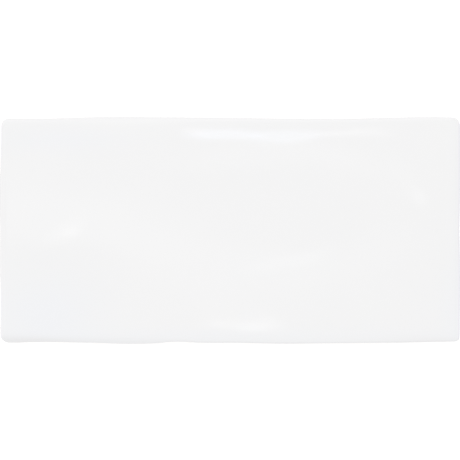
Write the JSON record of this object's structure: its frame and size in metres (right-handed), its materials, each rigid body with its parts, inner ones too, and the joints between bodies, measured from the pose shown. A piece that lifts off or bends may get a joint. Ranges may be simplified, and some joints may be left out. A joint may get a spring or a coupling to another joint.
{
  "type": "subway wall tile",
  "caption": "Glossy white ceramic subway tile with softly wavy edges, an uneven glazed face that rolls off at a rounded rim, and a bare back with shallow square keys.",
  "frame": {"origin": "middle of the tile's outline, on the plane of the ribs of the unglazed back", "axes": "+X along the tile's length, to the right in the picture; +Y along its width, up in the picture; +Z out of the glazed face. The tile lies flat on its back."},
  "size_m": [0.1503, 0.0742, 0.0081],
  "materials": {
    "white_glaze": "gloss"
  },
  "bodies": {
    "root": {"wall_tile": "white_glaze"}
  },
  "joints": []
}
